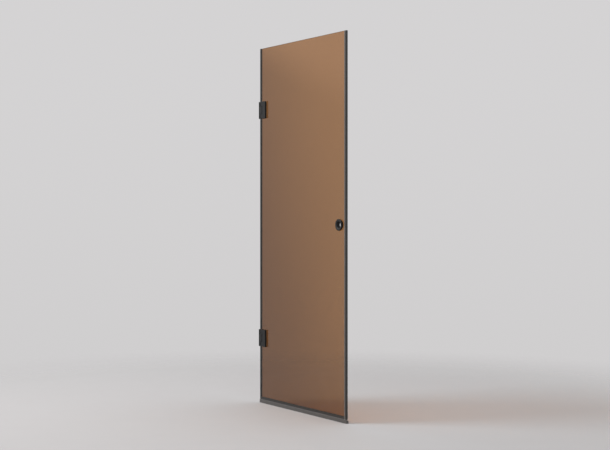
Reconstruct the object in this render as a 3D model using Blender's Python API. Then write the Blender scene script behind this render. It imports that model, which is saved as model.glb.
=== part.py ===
"""Frameless shower door for a niche: a tinted glass leaf on two wall hinges, with a ring pull.

The floor runs along X, from the wall with the hinges at X = 0 to the closing wall.
The face with the ring pull in the picture looks along -Y, and +Y is inside the shower.
The origin is the middle of the lower hinge's wall plate, on the face that meets the wall.
"""

import math

import bmesh
import bpy
from mathutils import Matrix, Vector

MM = 0.001

# The niche and the leaf
OPENING_WIDTH = 884 * MM
DOOR_HEIGHT = 2000 * MM
GLASS_THICKNESS = 8 * MM
GLASS_ARRIS = 0.8 * MM
GLASS_FLOOR_GAP = 27 * MM
CLOSING_EDGE_GAP = 12.5 * MM

# Where the hinges and the pull are, from the floor, the top edge and the closing wall
LOWER_HINGE_HEIGHT = 367 * MM
UPPER_HINGE_DROP = 348 * MM
PULL_HEIGHT = 1010 * MM
PULL_SETBACK = 61 * MM

# Hinge
HINGE_HEIGHT = 95 * MM
HINGE_REACH = 75 * MM
INNER_PLATE_REACH = 54 * MM
PIN_SETBACK = 28 * MM
PIN_RADIUS = 5 * MM
WALL_PLATE_THICKNESS = 6 * MM
WALL_PLATE_WIDTH = 23 * MM
OUTER_PLATE_THICKNESS = 9.1 * MM
INNER_PLATE_THICKNESS = 4 * MM
GASKET_THICKNESS = 1.5 * MM
GASKET_INSET = 1 * MM
KNUCKLE_HEIGHT = 45 * MM
KNUCKLE_NECK = 20 * MM
GRIP_BAND = 7.5 * MM
BOSS_RADIUS = 12 * MM
CUTOUT_CORNER_RADIUS = 8 * MM
CLAMP_EDGE_RADIUS = 1.6 * MM
END_CHAMFER = 0.8 * MM
PLATE_CHAMFER = 1 * MM

# Screws of the hinges
CLAMP_SCREW_RADIUS = 3 * MM
CLAMP_SCREW_DEPTH = 9 * MM
WALL_SCREW_RADIUS = 2.5 * MM
SCREW_HEAD_FACTOR = 1.9
SOCKET_FACTOR = 0.75
SOCKET_DEPTH = 1.8 * MM

# Seals and the profiles that they close on
CLIP_WALL = 1.2 * MM
HINGE_CLIP_GRIP = 6.5 * MM
CLOSING_CLIP_GRIP = 4 * MM
DRIP_CLIP_GRIP = 7.7 * MM
BULB_RADIUS = 5.5 * MM
BULB_WALL = 1.5 * MM
BULB_WALL_GAP = 0.5 * MM
FIN_THICKNESS = 1 * MM
WALL_PROFILE_DEPTH = 8 * MM
WALL_PROFILE_WIDTH = 10 * MM
WALL_PROFILE_SKIN = 1.4 * MM
WALL_PROFILE_BASE = 2 * MM
MAGNET_GAP = 0.5 * MM

# Threshold
THRESHOLD_HEIGHT = 19 * MM
THRESHOLD_FALL = 3 * MM
THRESHOLD_FRONT = 6 * MM
THRESHOLD_BACK = 10 * MM
THRESHOLD_CHAMFER = 1.2 * MM
DRIP_GAP = 1.2 * MM

# Ring pull
PULL_RADIUS = 30 * MM
PULL_PROJECTION = 9 * MM
PULL_BORE_RADIUS = 15 * MM
PULL_LIP = 9 * MM
PULL_EDGE_RADIUS = 2 * MM
PULL_SLEEVE_WALL = 2.5 * MM
PULL_INNER_RADIUS = 24 * MM
PULL_INNER_PROJECTION = 3.5 * MM
PULL_INNER_EDGE_RADIUS = 1 * MM
PULL_WASHER_THICKNESS = 1 * MM
PULL_WASHER_INSET = 1 * MM
PULL_HOLE_CLEARANCE = 1.5 * MM

# Clearances
SEAT = 0.3 * MM
SWING_CLEARANCE = 6 * MM
GLASS_SWING_CLEARANCE = 5 * MM
KNUCKLE_END_GAP = 1.5 * MM
KNUCKLE_NOSE_GAP = 2 * MM
CUTOUT_CLEARANCE = 1 * MM
SEAL_END_GAP = 1 * MM
OVERSHOOT = 2 * MM

# Roundness
TURNED_STEPS = 64
SCREW_STEPS = 24
ARC_STEPS = 8
PLATE_END_ANGLE = 8

# Worked out from the sizes above
FLOOR_Z = -LOWER_HINGE_HEIGHT
TOP_Z = FLOOR_Z + DOOR_HEIGHT
UPPER_HINGE_Z = TOP_Z - UPPER_HINGE_DROP
HINGES = {"lower": 0.0, "upper": UPPER_HINGE_Z}
HALF_GLASS = GLASS_THICKNESS / 2
CLAMP_INNER = HALF_GLASS + GASKET_THICKNESS
OUTER_FACE = CLAMP_INNER + OUTER_PLATE_THICKNESS
INNER_FACE = CLAMP_INNER + INNER_PLATE_THICKNESS
PLATE_FACES = {-1: OUTER_FACE, 1: INNER_FACE}
PLATE_REACHES = {-1: HINGE_REACH, 1: INNER_PLATE_REACH}
HALF_HINGE = HINGE_HEIGHT / 2
SWEEP_RADIUS = PIN_SETBACK - WALL_PLATE_THICKNESS - SWING_CLEARANCE
GLASS_SWEEP = PIN_SETBACK - WALL_PLATE_THICKNESS - GLASS_SWING_CLEARANCE
GLASS_LEFT = PIN_SETBACK - math.sqrt(GLASS_SWEEP**2 - HALF_GLASS**2)
GLASS_RIGHT = OPENING_WIDTH - CLOSING_EDGE_GAP
GLASS_BOTTOM = FLOOR_Z + GLASS_FLOOR_GAP
NOTCH_X = PIN_SETBACK + OUTER_FACE + KNUCKLE_NOSE_GAP
NOTCH_HALF = KNUCKLE_HEIGHT / 2 + KNUCKLE_END_GAP
CUTOUT_X = NOTCH_X + CUTOUT_CLEARANCE
CUTOUT_HALF = HALF_HINGE - GRIP_BAND
BOSS_END = CUTOUT_HALF - CUTOUT_CLEARANCE
PIN_HALF_LENGTH = BOSS_END - SEAT
BORE_RADIUS = PIN_RADIUS + SEAT
CLIP_INNER = HALF_GLASS + SEAT
CLIP_OUTER = CLIP_INNER + CLIP_WALL
HINGE_SEAL_END = GLASS_LEFT + HINGE_CLIP_GRIP
CLOSING_SEAL_START = GLASS_RIGHT - CLOSING_CLIP_GRIP
THRESHOLD_TOP = FLOOR_Z + THRESHOLD_HEIGHT
SEAL_FOOT = THRESHOLD_TOP + DRIP_GAP
CLAMP_SCREW_X = (PIN_SETBACK + BORE_RADIUS + NOTCH_X) / 2
CLAMP_SCREW_Z = (NOTCH_HALF + BOSS_END) / 2
WALL_SCREW_Z = (KNUCKLE_HEIGHT / 2 + HALF_HINGE) / 2
PULL_X = OPENING_WIDTH - PULL_SETBACK
PULL_Z = FLOOR_Z + PULL_HEIGHT
PULL_FACE = HALF_GLASS + PULL_PROJECTION
PULL_INNER_FACE = HALF_GLASS + PULL_INNER_PROJECTION
PULL_SEAT = HALF_GLASS + PULL_WASHER_THICKNESS
SLEEVE_RADIUS = PULL_BORE_RADIUS + PULL_SLEEVE_WALL
PULL_HOLE_RADIUS = SLEEVE_RADIUS + PULL_HOLE_CLEARANCE


def clear_scene():
    """Removes whatever objects the file opened with."""
    for obj in list(bpy.data.objects):
        bpy.data.objects.remove(obj, do_unlink=True)


def make_material(name, color, roughness, metallic=0.0, transmission=0.0):
    """A Principled material with a plain colour."""
    material = bpy.data.materials.new(name)
    material.use_nodes = True
    shader = material.node_tree.nodes["Principled BSDF"]
    shader.inputs["Base Color"].default_value = (*color, 1.0)
    shader.inputs["Roughness"].default_value = roughness
    shader.inputs["Metallic"].default_value = metallic
    shader.inputs["Transmission Weight"].default_value = transmission
    material.diffuse_color = (*color, 1.0)
    return material


def make_materials():
    """One material for each finish of the door."""
    return {
        "bronze_glass": make_material("bronze_glass", (0.36, 0.22, 0.13), 0.02, 0.0, 0.9),
        "black_coat": make_material("black_coat", (0.03, 0.03, 0.03), 0.42),
        "graphite": make_material("graphite", (0.10, 0.09, 0.085), 0.38, 0.8),
        "black_rubber": make_material("black_rubber", (0.03, 0.028, 0.026), 0.7),
        "grey_seal": make_material("grey_seal", (0.11, 0.10, 0.095), 0.5),
        "dark_seal": make_material("dark_seal", (0.06, 0.055, 0.05), 0.5),
        "dark_steel": make_material("dark_steel", (0.12, 0.12, 0.12), 0.35, 1.0),
    }


def finish(name, bm, material, parent=None):
    """Turns a bmesh in world coordinates into a named object, riding on parent if there is one."""
    bmesh.ops.recalc_face_normals(bm, faces=bm.faces)
    mesh = bpy.data.meshes.new(name)
    bm.to_mesh(mesh)
    bm.free()
    mesh.shade_smooth()
    mesh.set_sharp_from_angle(angle=math.radians(30))
    if material is not None:
        mesh.materials.append(material)
    obj = bpy.data.objects.new(name, mesh)
    bpy.context.scene.collection.objects.link(obj)
    ride(obj, parent)
    return obj


def ride(obj, parent):
    """Makes obj move with parent, if there is one, and leaves it where it is."""
    if parent is not None:
        obj.parent = parent
        obj.matrix_parent_inverse = Matrix.Translation(-parent.location)


def guide(name, bm):
    """A shape that only cuts or joins others."""
    obj = finish(name, bm, None)
    obj.hide_render = True
    obj.display_type = "WIRE"
    return obj


def apply_shape(obj, shape, operation):
    """Cuts obj by shape, or joins shape to it, and makes shape move with it."""
    ride(shape, obj.parent)
    modifier = obj.modifiers.new(shape.name, "BOOLEAN")
    modifier.operation = operation
    modifier.solver = "EXACT"
    modifier.object = shape


def cut(obj, *shapes):
    """Cuts obj by each shape."""
    for shape in shapes:
        apply_shape(obj, shape, "DIFFERENCE")


def join(obj, *shapes):
    """Joins each shape to obj."""
    for shape in shapes:
        apply_shape(obj, shape, "UNION")


def box(x, y, z):
    """A bmesh box from (low, high) pairs."""
    bm = bmesh.new()
    bmesh.ops.create_cube(bm, size=1.0)
    low = Vector((x[0], y[0], z[0]))
    high = Vector((x[1], y[1], z[1]))
    bmesh.ops.scale(bm, vec=high - low, verts=bm.verts)
    bmesh.ops.translate(bm, vec=(low + high) / 2, verts=bm.verts)
    return bm


def arc(centre, radius, start, end, steps=ARC_STEPS):
    """Points on an arc, from the angle start to the angle end in degrees."""
    points = []
    for step in range(steps + 1):
        angle = math.radians(start + (end - start) * step / steps)
        x = centre[0] + radius * math.cos(angle)
        y = centre[1] + radius * math.sin(angle)
        points.append((x, y))
    return points


def prism(outline, place, along):
    """Extrudes an outline of (a, b) points; place(a, b) puts one in space and along is the sweep."""
    bm = bmesh.new()
    verts = [bm.verts.new(place(a, b)) for a, b in outline]
    face = bm.faces.new(verts)
    swept = bmesh.ops.extrude_face_region(bm, geom=[face])
    moved = [item for item in swept["geom"] if isinstance(item, bmesh.types.BMVert)]
    bmesh.ops.translate(bm, vec=along, verts=moved)
    return bm


def upright(outline, bottom, top):
    """Extrudes an outline of (x, y) points from bottom to top."""
    return prism(outline, lambda x, y: (x, y, bottom), (0, 0, top - bottom))


def sheet(outline, front, back):
    """Extrudes an outline of (x, z) points from Y = front to Y = back."""
    return prism(outline, lambda x, z: (x, front, z), (0, back - front, 0))


def rail(outline, left, right):
    """Extrudes an outline of (y, z) points from left to right."""
    return prism(outline, lambda y, z: (left, y, z), (right - left, 0, 0))


def turned(profile, place, steps, capped=False):
    """Turns a profile of (radius, height) points about its axis; place puts (x, y, height) in space.

    The profile is a loop, or else a line whose two ends get flat caps.
    """
    bm = bmesh.new()
    rings = []
    for step in range(steps):
        angle = math.tau * step / steps
        cos, sin = math.cos(angle), math.sin(angle)
        rings.append([bm.verts.new(place(radius * cos, radius * sin, height)) for radius, height in profile])
    bands = len(profile) - 1 if capped else len(profile)
    for step, ring in enumerate(rings):
        following = rings[(step + 1) % steps]
        for index in range(bands):
            after = (index + 1) % len(profile)
            bm.faces.new((ring[index], ring[after], following[after], following[index]))
    if capped:
        bm.faces.new([ring[0] for ring in rings])
        bm.faces.new([ring[-1] for ring in rings])
    return bm


def about_pin(x, y, height):
    """Places a turned point about the axis of the hinge pins."""
    return (PIN_SETBACK + x, y, height)


def chamfer(bm, width, chosen, segments=1):
    """Bevels the edges for which chosen(edge) is true."""
    edges = [edge for edge in bm.edges if chosen(edge)]
    bmesh.ops.bevel(bm, geom=edges, offset=width, segments=segments, affect="EDGES", profile=0.5)


def lies_flat(edge, axis, values):
    """True if both ends of edge have one of the values along the axis."""
    for value in values:
        if all(abs(vert.co[axis] - value) < 1e-6 for vert in edge.verts):
            return True
    return False


def cylinder(place, radius, low, high, steps):
    """A cylinder between two heights of place's axis."""
    return turned([(radius, low), (radius, high)], place, steps, capped=True)


def make_glass(material, leaf):
    """The pane: a sheet with a notch for each hinge and a round hole for the pull."""
    outline = [(GLASS_LEFT, GLASS_BOTTOM), (GLASS_RIGHT, GLASS_BOTTOM)]
    outline += [(GLASS_RIGHT, TOP_Z), (GLASS_LEFT, TOP_Z)]
    inner = CUTOUT_X - CUTOUT_CORNER_RADIUS
    for centre_z in reversed(HINGES.values()):
        top = centre_z + CUTOUT_HALF
        bottom = centre_z - CUTOUT_HALF
        outline.append((GLASS_LEFT, top))
        outline += arc((inner, top - CUTOUT_CORNER_RADIUS), CUTOUT_CORNER_RADIUS, 90, 0)
        outline += arc((inner, bottom + CUTOUT_CORNER_RADIUS), CUTOUT_CORNER_RADIUS, 0, -90)
        outline.append((GLASS_LEFT, bottom))
    bm = sheet(outline, -HALF_GLASS, HALF_GLASS)
    chamfer(bm, GLASS_ARRIS, lambda edge: lies_flat(edge, 1, (-HALF_GLASS, HALF_GLASS)))
    pane = finish("glass_pane", bm, material, leaf)

    def about_pull(x, y, height):
        return (PULL_X + x, height, PULL_Z + y)

    reach = HALF_GLASS + OVERSHOOT
    drill = cylinder(about_pull, PULL_HOLE_RADIUS, -reach, reach, TURNED_STEPS)
    cut(pane, guide("pull_hole_cutter", drill))


def make_wall_plate(prefix, centre_z, material):
    """The plate that is screwed to the wall, with two countersunk holes."""
    half_width = WALL_PLATE_WIDTH / 2
    y, z = (-half_width, half_width), (centre_z - HALF_HINGE, centre_z + HALF_HINGE)
    bm = box((0, WALL_PLATE_THICKNESS), y, z)
    chamfer(bm, PLATE_CHAMFER, lambda edge: lies_flat(edge, 0, (WALL_PLATE_THICKNESS,)))
    plate = finish(f"{prefix}_hinge_wall_plate", bm, material)
    for side, sign in (("top", 1), ("bottom", -1)):
        hole = guide(
            f"{prefix}_wall_{side}_hole_cutter",
            screw_shape(wall_screw_place(centre_z + sign * WALL_SCREW_Z), WALL_SCREW_RADIUS, 0, SEAT),
        )
        cut(plate, hole)


def wall_screw_place(centre_z):
    """Places a screw in the wall plate: its height runs from the plate's outer face into the wall."""
    return lambda x, y, height: (WALL_PLATE_THICKNESS - height, x, centre_z + y)


def clamp_screw_place(centre_z):
    """Places a clamp screw: its height runs from the inside face of the hinge towards the outside."""
    return lambda x, y, height: (CLAMP_SCREW_X + x, INNER_FACE - height, centre_z + y)


def screw_shape(place, radius, length, slack):
    """A countersunk screw with its head flush at height 0, or its hole when slack is more than 0.

    A length of 0 makes the hole of a wall screw, which runs out of the plate's back.
    """
    head = radius * SCREW_HEAD_FACTOR
    cone = head - radius
    flat = 0.4 * MM
    if slack:
        length = length + slack if length else WALL_PLATE_THICKNESS + OVERSHOOT
        start = -OVERSHOOT
    else:
        start = 0.0
    wide = radius + slack
    profile = [(head + slack, start), (head + slack, flat), (wide, flat + cone), (wide, length)]
    return turned(profile, place, SCREW_STEPS, capped=True)


def make_screw(name, place, radius, length, material, parent=None):
    """A countersunk screw with a six-sided socket in its head."""
    screw = finish(name, screw_shape(place, radius, length, 0.0), material, parent)
    socket = cylinder(place, radius * SOCKET_FACTOR, -OVERSHOOT, SOCKET_DEPTH, 6)
    cut(screw, guide(f"{name}_socket_cutter", socket))


def make_knuckle(prefix, centre_z, material):
    """The block on the wall plate that the pin turns in: a neck and a barrel, flat on the inside."""
    foot = WALL_PLATE_THICKNESS + SEAT
    neck = KNUCKLE_NECK / 2
    start = math.degrees(math.asin(neck / OUTER_FACE)) - 180
    end = math.degrees(math.asin(INNER_FACE / OUTER_FACE))
    outline = [(foot, -neck)]
    outline += arc((PIN_SETBACK, 0), OUTER_FACE, start, end, 3 * ARC_STEPS)
    outline += [(foot, INNER_FACE)]
    bottom, top = centre_z - KNUCKLE_HEIGHT / 2, centre_z + KNUCKLE_HEIGHT / 2
    bm = upright(outline, bottom, top)
    chamfer(bm, END_CHAMFER, lambda edge: lies_flat(edge, 2, (bottom, top)))
    block = finish(f"{prefix}_hinge_knuckle", bm, material)
    bore = cylinder(about_pin, BORE_RADIUS, bottom - OVERSHOOT, top + OVERSHOOT, SCREW_STEPS)
    cut(block, guide(f"{prefix}_bore_cutter", bore))


def make_pin(prefix, centre_z, material, leaf):
    """The pin, held between the two clamp plates."""
    low, high = centre_z - PIN_HALF_LENGTH, centre_z + PIN_HALF_LENGTH
    finish(f"{prefix}_hinge_pin", cylinder(about_pin, PIN_RADIUS, low, high, SCREW_STEPS), material, leaf)


def clamp_outline(side):
    """A clamp plate seen from above: round about the pin at one end, with one soft edge at the other.

    PLATE_END_ANGLE is the most that one facet of the round end turns, in degrees.
    """
    face, reach = PLATE_FACES[side], PLATE_REACHES[side]
    near = math.degrees(math.asin(CLAMP_INNER / SWEEP_RADIUS))
    far = math.degrees(math.asin(face / SWEEP_RADIUS))
    facets = math.ceil((far - near) / PLATE_END_ANGLE)
    outline = arc((PIN_SETBACK, 0), SWEEP_RADIUS, 180 - near, 180 - far, facets)
    corner = (reach - CLAMP_EDGE_RADIUS, face - CLAMP_EDGE_RADIUS)
    outline += arc(corner, CLAMP_EDGE_RADIUS, 90, 0, ARC_STEPS // 2)
    outline.append((reach, CLAMP_INNER))
    return [(x, side * y) for x, y in outline]


def boss_outline():
    """The boss above the knuckle in (x, height), with a corner that follows the notch in the glass."""
    left = PIN_SETBACK - BOSS_RADIUS
    centre = (CUTOUT_X - CUTOUT_CORNER_RADIUS, CUTOUT_HALF - CUTOUT_CORNER_RADIUS)
    corner = arc(centre, CUTOUT_CORNER_RADIUS - CUTOUT_CLEARANCE, 0, 90)
    return [(left, NOTCH_HALF), (NOTCH_X, NOTCH_HALF), *corner, (left, BOSS_END)]


def make_clamp_plate(prefix, face, side, centre_z, material, leaf):
    """One of the two plates that grip the glass and the pin; side is -1 outside and 1 inside."""
    bottom, top = centre_z - HALF_HINGE, centre_z + HALF_HINGE
    bm = upright(clamp_outline(side), bottom, top)
    chamfer(bm, END_CHAMFER, lambda edge: lies_flat(edge, 2, (bottom, top)))
    plate = finish(f"{prefix}_hinge_{face}_plate", bm, material, leaf)
    tag = f"{prefix}_{face}"

    inner, sunk = side * SEAT / 2, side * (CLAMP_INNER + PLATE_FACES[side]) / 2
    for end, sign in (("top", 1), ("bottom", -1)):
        boss = sheet([(x, centre_z + sign * z) for x, z in boss_outline()], inner, sunk)
        join(plate, guide(f"{tag}_{end}_boss", boss))

    across = sorted((side * -OVERSHOOT, side * (PLATE_FACES[side] + OVERSHOOT)))
    notch = box((0, NOTCH_X), across, (centre_z - NOTCH_HALF, centre_z + NOTCH_HALF))
    groove = cylinder(about_pin, BORE_RADIUS, bottom - OVERSHOOT, top + OVERSHOOT, SCREW_STEPS)
    cut(plate, guide(f"{tag}_notch_cutter", notch), guide(f"{tag}_groove_cutter", groove))

    length = INNER_FACE + CLAMP_SCREW_DEPTH
    for end, sign in (("top", 1), ("bottom", -1)):
        place = clamp_screw_place(centre_z + sign * CLAMP_SCREW_Z)
        hole = screw_shape(place, CLAMP_SCREW_RADIUS, length, SEAT)
        cut(plate, guide(f"{tag}_{end}_screw_cutter", hole))


def make_gasket(prefix, face, side, centre_z, material, leaf):
    """The sheet between a clamp plate and the glass, open where the glass is cut away."""
    left = PIN_SETBACK - math.sqrt(SWEEP_RADIUS**2 - CLAMP_INNER**2) + GASKET_INSET
    right = PLATE_REACHES[side] - GASKET_INSET
    bottom = centre_z - HALF_HINGE + GASKET_INSET
    top = centre_z + HALF_HINGE - GASKET_INSET
    inner = CUTOUT_X - CUTOUT_CORNER_RADIUS
    high, low = centre_z + CUTOUT_HALF, centre_z - CUTOUT_HALF
    outline = [(left, bottom), (right, bottom), (right, top), (left, top), (left, high)]
    outline += arc((inner, high - CUTOUT_CORNER_RADIUS), CUTOUT_CORNER_RADIUS, 90, 0)
    outline += arc((inner, low + CUTOUT_CORNER_RADIUS), CUTOUT_CORNER_RADIUS, 0, -90)
    outline.append((left, low))
    near, far = side * (HALF_GLASS + SEAT), side * (CLAMP_INNER - SEAT)
    finish(f"{prefix}_hinge_{face}_gasket", sheet(outline, near, far), material, leaf)


def make_hinge(prefix, centre_z, materials, leaf):
    """Everything in one hinge: the fixed pieces, and the pieces that swing with the glass."""
    coat, steel, rubber = materials["black_coat"], materials["dark_steel"], materials["black_rubber"]
    make_wall_plate(prefix, centre_z, coat)
    make_knuckle(prefix, centre_z, coat)
    make_pin(prefix, centre_z, steel, leaf)
    for face, side in (("outer", -1), ("inner", 1)):
        make_clamp_plate(prefix, face, side, centre_z, coat, leaf)
        make_gasket(prefix, face, side, centre_z, rubber, leaf)
    for end, sign in (("top", 1), ("bottom", -1)):
        wall_place = wall_screw_place(centre_z + sign * WALL_SCREW_Z)
        name = f"{prefix}_hinge_wall_screw_{end}"
        make_screw(name, wall_place, WALL_SCREW_RADIUS, WALL_PLATE_THICKNESS, steel)
        clamp_place = clamp_screw_place(centre_z + sign * CLAMP_SCREW_Z)
        name = f"{prefix}_hinge_clamp_screw_{end}"
        length = INNER_FACE + CLAMP_SCREW_DEPTH
        make_screw(name, clamp_place, CLAMP_SCREW_RADIUS, length, steel, leaf)


def hinge_seal_outline():
    """The seal on the hinged edge, seen from above: a clip on the glass with a round bulb to the wall."""
    web = GLASS_LEFT - SEAT
    centre = (BULB_WALL_GAP + BULB_RADIUS, 0)
    neck = math.degrees(math.asin(CLIP_INNER / BULB_RADIUS))
    outline = [(HINGE_SEAL_END, -CLIP_OUTER), (HINGE_SEAL_END, -CLIP_INNER), (web, -CLIP_INNER)]
    outline += [(web, CLIP_INNER), (HINGE_SEAL_END, CLIP_INNER), (HINGE_SEAL_END, CLIP_OUTER)]
    outline += [(web - CLIP_WALL, CLIP_OUTER)]
    outline += arc(centre, BULB_RADIUS, neck, 360 - neck, 3 * ARC_STEPS)
    outline += [(web - CLIP_WALL, -CLIP_OUTER)]
    return outline


def make_hinge_seals(material, leaf):
    """The seal on the hinged edge, in three lengths that stop at the hinges."""
    reach = HALF_HINGE + SEAL_END_GAP
    lengths = {
        "bottom": (SEAL_FOOT, HINGES["lower"] - reach),
        "middle": (HINGES["lower"] + reach, HINGES["upper"] - reach),
        "top": (HINGES["upper"] + reach, TOP_Z),
    }
    centre_x = BULB_WALL_GAP + BULB_RADIUS

    def about_bulb(x, y, height):
        return (centre_x + x, y, height)

    for name, (bottom, top) in lengths.items():
        seal = finish(f"hinge_edge_seal_{name}", upright(hinge_seal_outline(), bottom, top), material, leaf)
        core = cylinder(about_bulb, BULB_RADIUS - BULB_WALL, bottom - OVERSHOOT, top + OVERSHOOT, SCREW_STEPS)
        cut(seal, guide(f"bulb_{name}_cutter", core))


def make_closing_seal(material, leaf):
    """The magnet seal on the closing edge: a clip on the glass with the magnet's pocket beyond it."""
    web = GLASS_RIGHT + SEAT
    nose = OPENING_WIDTH - WALL_PROFILE_DEPTH - MAGNET_GAP
    pocket = HALF_GLASS
    outline = [(CLOSING_SEAL_START, CLIP_OUTER), (CLOSING_SEAL_START, CLIP_INNER), (web, CLIP_INNER)]
    outline += [(web, -CLIP_INNER), (CLOSING_SEAL_START, -CLIP_INNER), (CLOSING_SEAL_START, -CLIP_OUTER)]
    outline += [(web + CLIP_WALL, -CLIP_OUTER), (web + CLIP_WALL, -pocket), (nose, -pocket)]
    outline += [(nose, pocket), (web + CLIP_WALL, pocket), (web + CLIP_WALL, CLIP_OUTER)]
    finish("closing_edge_seal", upright(outline, SEAL_FOOT, TOP_Z), material, leaf)


def make_drip_seal(material, leaf):
    """The seal under the glass: a clip with a skirt outside and a slanted wiper inside."""
    top = GLASS_BOTTOM + DRIP_CLIP_GRIP
    web = GLASS_BOTTOM - SEAT
    under = web - CLIP_WALL
    skirt = CLIP_OUTER - FIN_THICKNESS
    outline = [(-CLIP_OUTER, SEAL_FOOT), (-skirt, SEAL_FOOT), (-skirt, under)]
    outline += [(0, under), (HALF_GLASS, SEAL_FOOT), (HALF_GLASS + FIN_THICKNESS, SEAL_FOOT)]
    outline += [(2 * FIN_THICKNESS, under), (CLIP_OUTER, under), (CLIP_OUTER, top), (CLIP_INNER, top)]
    outline += [(CLIP_INNER, web), (-CLIP_INNER, web), (-CLIP_INNER, top), (-CLIP_OUTER, top)]
    left, right = HINGE_SEAL_END + SEAT, CLOSING_SEAL_START - SEAT
    finish("bottom_drip_seal", rail(outline, left, right), material, leaf)


def make_threshold(material):
    """The bar on the floor, whose top falls towards the shower."""
    back_top = THRESHOLD_TOP - THRESHOLD_FALL
    outline = [(-THRESHOLD_FRONT, FLOOR_Z), (THRESHOLD_BACK, FLOOR_Z)]
    outline += [(THRESHOLD_BACK, back_top - THRESHOLD_CHAMFER), (THRESHOLD_BACK - THRESHOLD_CHAMFER, back_top)]
    outline += [(-THRESHOLD_FRONT + THRESHOLD_CHAMFER, THRESHOLD_TOP)]
    outline += [(-THRESHOLD_FRONT, THRESHOLD_TOP - THRESHOLD_CHAMFER)]
    finish("threshold", rail(outline, 0, OPENING_WIDTH), material)


def make_closing_wall_profile(materials):
    """The channel on the closing wall and the magnet strip in it, standing on the threshold."""
    half = WALL_PROFILE_WIDTH / 2
    inner = half - WALL_PROFILE_SKIN
    mouth = OPENING_WIDTH - WALL_PROFILE_DEPTH
    base = OPENING_WIDTH - WALL_PROFILE_BASE
    outline = [(OPENING_WIDTH, -half), (OPENING_WIDTH, half), (mouth, half), (mouth, inner)]
    outline += [(base, inner), (base, -inner), (mouth, -inner), (mouth, -half)]
    foot = THRESHOLD_TOP + SEAT
    finish("closing_wall_profile", upright(outline, foot, TOP_Z), materials["graphite"])
    strip = inner - SEAT
    outline = [(base - SEAT, -strip), (base - SEAT, strip), (mouth, strip), (mouth, -strip)]
    finish("closing_magnet_strip", upright(outline, foot, TOP_Z), materials["dark_seal"])


def ring_points(radius, face, edge_radius, lip_radius):
    """A pull ring from its seat over its outer edge to its bore; (radius, distance from mid-glass)."""
    rim = arc((radius - edge_radius, face - edge_radius), edge_radius, 0, 90)
    lip = arc((PULL_BORE_RADIUS + lip_radius, face - lip_radius), lip_radius, 90, 180)
    return [(radius, PULL_SEAT + SEAT), *rim, *lip]


def place_pull(side):
    """Places the pull's profile: side is -1 outside and 1 inside."""
    return lambda x, y, height: (PULL_X + x, side * height, PULL_Z + y)


def make_pull(materials, leaf):
    """The ring pull: an outer ring with a sleeve through the glass, and a low ring inside on its end."""
    coat, rubber = materials["black_coat"], materials["black_rubber"]
    outer = [(PULL_BORE_RADIUS, -PULL_SEAT), (SLEEVE_RADIUS, -PULL_SEAT)]
    outer += [(SLEEVE_RADIUS, PULL_SEAT + SEAT)]
    outer += ring_points(PULL_RADIUS, PULL_FACE, PULL_EDGE_RADIUS, PULL_LIP)
    finish("pull_outer_ring", turned(outer, place_pull(-1), TURNED_STEPS), coat, leaf)

    edge = PULL_INNER_EDGE_RADIUS
    inner = [(PULL_BORE_RADIUS, PULL_SEAT + SEAT)]
    inner += ring_points(PULL_INNER_RADIUS, PULL_INNER_FACE, edge, edge)
    finish("pull_inner_ring", turned(inner, place_pull(1), TURNED_STEPS), coat, leaf)

    washer_inner = PULL_HOLE_RADIUS + SEAT
    low, high = HALF_GLASS + SEAT, PULL_SEAT
    for face, side, radius in (("outer", -1, PULL_RADIUS), ("inner", 1, PULL_INNER_RADIUS)):
        washer_outer = radius - PULL_WASHER_INSET
        washer = [(washer_inner, low), (washer_outer, low), (washer_outer, high), (washer_inner, high)]
        finish(f"pull_{face}_washer", turned(washer, place_pull(side), TURNED_STEPS), rubber, leaf)


def even_shading():
    """Keeps large faces flat to the eye where small round edges meet them."""
    for obj in bpy.data.objects:
        if obj.type == "MESH" and not obj.hide_render:
            modifier = obj.modifiers.new("even_shading", "WEIGHTED_NORMAL")
            modifier.keep_sharp = True


def make_leaf_axis():
    """The empty on the axis of the hinge pins, which the moving pieces ride on."""
    leaf = bpy.data.objects.new("leaf_axis", None)
    leaf.location = (PIN_SETBACK, 0, 0)
    bpy.context.scene.collection.objects.link(leaf)
    return leaf


def main():
    """Builds the door."""
    clear_scene()
    materials = make_materials()
    leaf = make_leaf_axis()
    make_threshold(materials["graphite"])
    make_closing_wall_profile(materials)
    for prefix, centre_z in HINGES.items():
        make_hinge(prefix, centre_z, materials, leaf)
    make_glass(materials["bronze_glass"], leaf)
    make_hinge_seals(materials["dark_seal"], leaf)
    make_closing_seal(materials["grey_seal"], leaf)
    make_drip_seal(materials["dark_seal"], leaf)
    make_pull(materials, leaf)
    even_shading()


main()
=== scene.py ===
"""Looks of a frameless shower door: tinted glass, black hinges, a ring pull, seals and slim profiles.

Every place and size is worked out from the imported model's own pieces, in metres, +Z up.
The face with the ring pull in the picture looks along -Y.
"""

import math

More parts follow.
